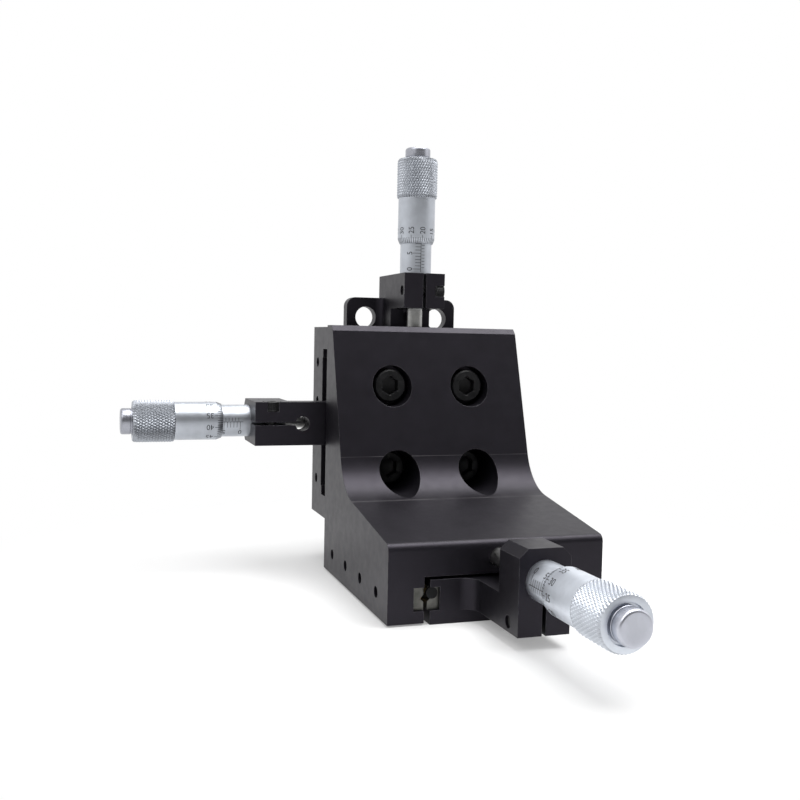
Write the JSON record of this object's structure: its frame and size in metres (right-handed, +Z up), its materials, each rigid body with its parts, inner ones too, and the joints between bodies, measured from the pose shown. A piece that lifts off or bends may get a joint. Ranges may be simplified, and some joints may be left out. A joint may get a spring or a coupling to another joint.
{
  "type": "linear translation stage",
  "caption": "Manual XYZ translation stage: crossed-roller slides on an L-bracket, each moved by a micrometer head, with a tapped base and a rear payload face.",
  "frame": {"origin": "centre of the base's four-hole pattern, on the base's underside", "axes": "+Z up, +Y from the Y micrometer towards the upright and the payload face, +X to the right seen from the Y micrometer"},
  "size_m": [0.1214, 0.1563, 0.1326],
  "materials": {
    "black_anodised": "black anodised, satin",
    "bearing_steel": "ground",
    "cage_brass": "plain sheet",
    "black_oxide_steel": "black oxide",
    "ground_steel": "ground",
    "spring_steel": "drawn wire",
    "satin_chrome": "satin chrome plate",
    "bright_chrome": "polished"
  },
  "bodies": {
    "base": {"y_base": "black_anodised", "y_inner_rails": "bearing_steel", "y_cage_stops": "black_oxide_steel", "y_inner_rail_screws": "black_oxide_steel", "y_spring_pin": "ground_steel", "y_return_spring": "spring_steel", "y_micrometer_sleeve": "satin_chrome", "y_clamp_screw": "black_oxide_steel"},
    "bracket": {"l_bracket": "black_anodised", "bracket_bolts": "black_oxide_steel", "x_inner_block": "black_anodised", "x_inner_rails": "bearing_steel", "x_cage_stops": "black_oxide_steel", "x_inner_rail_screws": "black_oxide_steel", "x_spring_pin": "ground_steel", "x_return_spring": "spring_steel", "x_micrometer_sleeve": "satin_chrome", "x_clamp_screw": "black_oxide_steel", "y_outer_rails": "bearing_steel", "y_outer_rail_screws": "black_oxide_steel", "y_preload_screws": "black_oxide_steel", "y_spring_post": "ground_steel", "y_contact_pin": "ground_steel"},
    "block": {"middle_block": "black_anodised", "x_outer_rails": "bearing_steel", "x_outer_rail_screws": "black_oxide_steel", "x_preload_screws": "black_oxide_steel", "x_spring_post": "ground_steel", "x_contact_pin": "ground_steel", "z_outer_rails": "bearing_steel", "z_outer_rail_screws": "black_oxide_steel", "z_preload_screws": "black_oxide_steel", "z_spring_post": "ground_steel", "z_contact_pin": "ground_steel"},
    "payload": {"z_inner_block": "black_anodised", "z_inner_rails": "bearing_steel", "z_cage_stops": "black_oxide_steel", "z_inner_rail_screws": "black_oxide_steel", "z_spring_pin": "ground_steel", "z_return_spring": "spring_steel", "z_micrometer_sleeve": "satin_chrome", "z_clamp_screw": "black_oxide_steel"},
    "x_roller_cage": {"x_roller_cages": "cage_brass", "x_rollers": "bearing_steel"},
    "x_spindle": {"x_spindle": "ground_steel"},
    "x_thimble": {"x_thimble": "satin_chrome", "x_thimble_cap": "bright_chrome"},
    "y_roller_cage": {"y_roller_cages": "cage_brass", "y_rollers": "bearing_steel"},
    "y_spindle": {"y_spindle": "ground_steel"},
    "y_thimble": {"y_thimble": "satin_chrome", "y_thimble_cap": "bright_chrome"},
    "z_roller_cage": {"z_roller_cages": "cage_brass", "z_rollers": "bearing_steel"},
    "z_spindle": {"z_spindle": "ground_steel"},
    "z_thimble": {"z_thimble": "satin_chrome", "z_thimble_cap": "bright_chrome"}
  },
  "joints": [
    {"name": "x_thimble_turn", "type": "hinge", "parent": "x_spindle", "child": "x_thimble", "pos_m": [-0.0514, 0.0483, 0.045], "axis": [1, 0, 0], "range_deg": [-5400, 3960]},
    {"name": "x_spindle_feed", "type": "slide", "parent": "bracket", "child": "x_spindle", "axis": [1, 0, 0], "range_m": [-0.0075, 0.0055]},
    {"name": "x_slide", "type": "slide", "parent": "bracket", "child": "block", "axis": [1, 0, 0], "range_m": [-0.0075, 0.0055], "deforming": ["x_return_spring"]},
    {"name": "x_cage_travel", "type": "slide", "parent": "bracket", "child": "x_roller_cage", "axis": [1, 0, 0], "range_m": [-0.00375, 0.00275]},
    {"name": "y_thimble_turn", "type": "hinge", "parent": "y_spindle", "child": "y_thimble", "pos_m": [0, -0.0585, 0.0164], "axis": [0, 1, 0], "range_deg": [-4680, 4680]},
    {"name": "y_spindle_feed", "type": "slide", "parent": "base", "child": "y_spindle", "axis": [0, 1, 0], "range_m": [-0.0065, 0.0065]},
    {"name": "y_slide", "type": "slide", "parent": "base", "child": "bracket", "axis": [0, 1, 0], "range_m": [-0.0065, 0.0065], "deforming": ["y_return_spring"]},
    {"name": "y_cage_travel", "type": "slide", "parent": "base", "child": "y_roller_cage", "axis": [0, 1, 0], "range_m": [-0.00325, 0.00325]},
    {"name": "z_thimble_turn", "type": "hinge", "parent": "z_spindle", "child": "z_thimble", "pos_m": [0.001, 0.041, 0.0925], "axis": [0, 0, -1], "range_deg": [-3312, 6048]},
    {"name": "z_spindle_feed", "type": "slide", "parent": "payload", "child": "z_spindle", "axis": [0, 0, -1], "range_m": [-0.0046, 0.0084]},
    {"name": "z_slide", "type": "slide", "parent": "block", "child": "payload", "axis": [0, 0, 1], "range_m": [-0.0046, 0.0084], "deforming": ["z_return_spring"]},
    {"name": "z_cage_travel", "type": "slide", "parent": "block", "child": "z_roller_cage", "axis": [0, 0, 1], "range_m": [-0.0023, 0.0042]}
  ],
  "couplings": [
    {"joint": "x_thimble_turn", "follows": "x_slide", "rad_per_m": 12566},
    {"joint": "x_spindle_feed", "follows": "x_slide", "ratio": 1},
    {"joint": "x_cage_travel", "follows": "x_slide", "ratio": 0.5},
    {"joint": "y_thimble_turn", "follows": "y_slide", "rad_per_m": 12566},
    {"joint": "y_spindle_feed", "follows": "y_slide", "ratio": 1},
    {"joint": "y_cage_travel", "follows": "y_slide", "ratio": 0.5},
    {"joint": "z_thimble_turn", "follows": "z_slide", "rad_per_m": 12566},
    {"joint": "z_spindle_feed", "follows": "z_slide", "ratio": 1},
    {"joint": "z_cage_travel", "follows": "z_slide", "ratio": 0.5}
  ]
}
